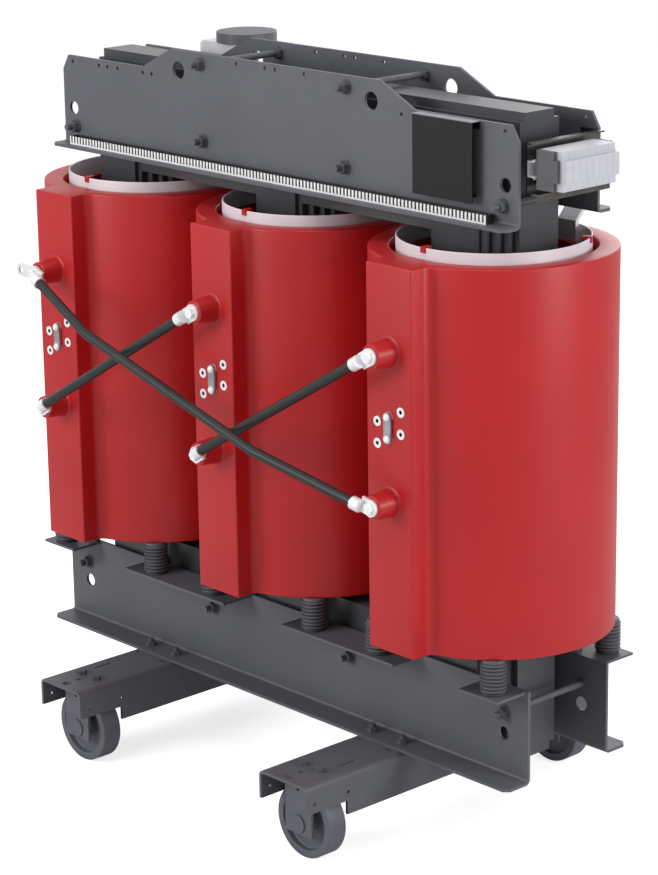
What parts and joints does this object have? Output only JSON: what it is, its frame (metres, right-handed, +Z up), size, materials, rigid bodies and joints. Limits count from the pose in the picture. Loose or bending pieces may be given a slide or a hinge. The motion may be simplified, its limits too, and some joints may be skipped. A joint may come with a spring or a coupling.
{
  "type": "dry type transformer",
  "caption": "Upright transformer with red cast resin windings on a stacked core, clamped between grey frames, with crossed delta links, tap links and a wheeled underframe.",
  "frame": {"origin": "on the floor, midway between the four wheels", "axes": "+Z up, +X along the length towards the end with the terminal strip, -Y out of the high voltage side with the links"},
  "size_m": [1.4307, 0.816, 1.4275],
  "materials": {
    "core_lacquer": "grey insulating lacquer on stacked core steel",
    "frame_paint": "smooth grey paint",
    "wheel_iron": "smooth grey paint on cast iron",
    "cast_resin": "red cast resin with a satin sheen",
    "barrier_film": "white insulating laminate",
    "dark_steel": "dark grey painted steel",
    "tinned_metal": "bright tin plating",
    "link_steel": "grey zinc plating",
    "insulator_resin": "dark grey moulded resin",
    "cable_jacket": "black cable jacket",
    "bar_aluminium": "plain aluminium bar",
    "duct_plastic": "pale slotted plastic",
    "black_plate": "black anodised sheet",
    "terminal_plastic": "white moulded plastic",
    "clamp_plastic": "grey moulded plastic"
  },
  "bodies": {
    "transformer": {"axles": "wheel_iron", "bar_standoffs": "insulator_resin", "barrier_cylinder_centre": "barrier_film", "barrier_cylinder_left": "barrier_film", "barrier_cylinder_right": "barrier_film", "bottom_frame_back": "frame_paint", "bottom_frame_front": "frame_paint", "bottom_yoke": "core_lacquer", "core_limb_centre": "core_lacquer", "core_limb_left": "core_lacquer", "core_limb_right": "core_lacquer", "delta_link_a": "cable_jacket", "delta_link_b": "cable_jacket", "delta_link_c": "cable_jacket", "delta_lugs": "tinned_metal", "din_rail": "tinned_metal", "fork_bolts": "dark_steel", "hv_coil_centre": "cast_resin", "hv_coil_left": "cast_resin", "hv_coil_right": "cast_resin", "hv_flag": "tinned_metal", "lower_clamp_nuts": "dark_steel", "lower_clamp_rods": "dark_steel", "lv_coil_centre": "cast_resin", "lv_coil_left": "cast_resin", "lv_coil_right": "cast_resin", "lv_leads": "bar_aluminium", "lv_posts": "insulator_resin", "neutral_bar": "bar_aluminium", "neutral_cap": "frame_paint", "neutral_shelf": "bar_aluminium", "post_bolts": "dark_steel", "post_insulators": "insulator_resin", "rail_bolts": "dark_steel", "rail_left": "frame_paint", "rail_right": "frame_paint", "rating_plate": "black_plate", "spacer_sticks": "cast_resin", "tap_inserts": "tinned_metal", "tap_link_screws": "tinned_metal", "tap_links": "link_steel", "terminal_blocks": "terminal_plastic", "terminal_bolts": "tinned_metal", "terminal_bracket": "tinned_metal", "terminal_clamps": "clamp_plastic", "top_frame_back": "frame_paint", "top_frame_front": "frame_paint", "top_yoke": "core_lacquer", "upper_clamp_nuts": "dark_steel", "upper_clamp_rods": "dark_steel", "wheel_fork_back_left": "wheel_iron", "wheel_fork_back_right": "wheel_iron", "wheel_fork_front_left": "wheel_iron", "wheel_fork_front_right": "wheel_iron", "wiring_duct": "duct_plastic"},
    "wheel_front_left": {"wheel_front_left": "wheel_iron"},
    "wheel_front_right": {"wheel_front_right": "wheel_iron"},
    "wheel_back_left": {"wheel_back_left": "wheel_iron"},
    "wheel_back_right": {"wheel_back_right": "wheel_iron"}
  },
  "joints": [
    {"name": "front_left_wheel_spin", "type": "hinge", "parent": "transformer", "child": "wheel_front_left", "pos_m": [-0.335, -0.335, 0.072], "axis": [0, 1, 0], "continuous": true},
    {"name": "front_right_wheel_spin", "type": "hinge", "parent": "transformer", "child": "wheel_front_right", "pos_m": [0.335, -0.335, 0.072], "axis": [0, 1, 0], "continuous": true},
    {"name": "back_left_wheel_spin", "type": "hinge", "parent": "transformer", "child": "wheel_back_left", "pos_m": [-0.335, 0.335, 0.072], "axis": [0, 1, 0], "continuous": true},
    {"name": "back_right_wheel_spin", "type": "hinge", "parent": "transformer", "child": "wheel_back_right", "pos_m": [0.335, 0.335, 0.072], "axis": [0, 1, 0], "continuous": true}
  ]
}
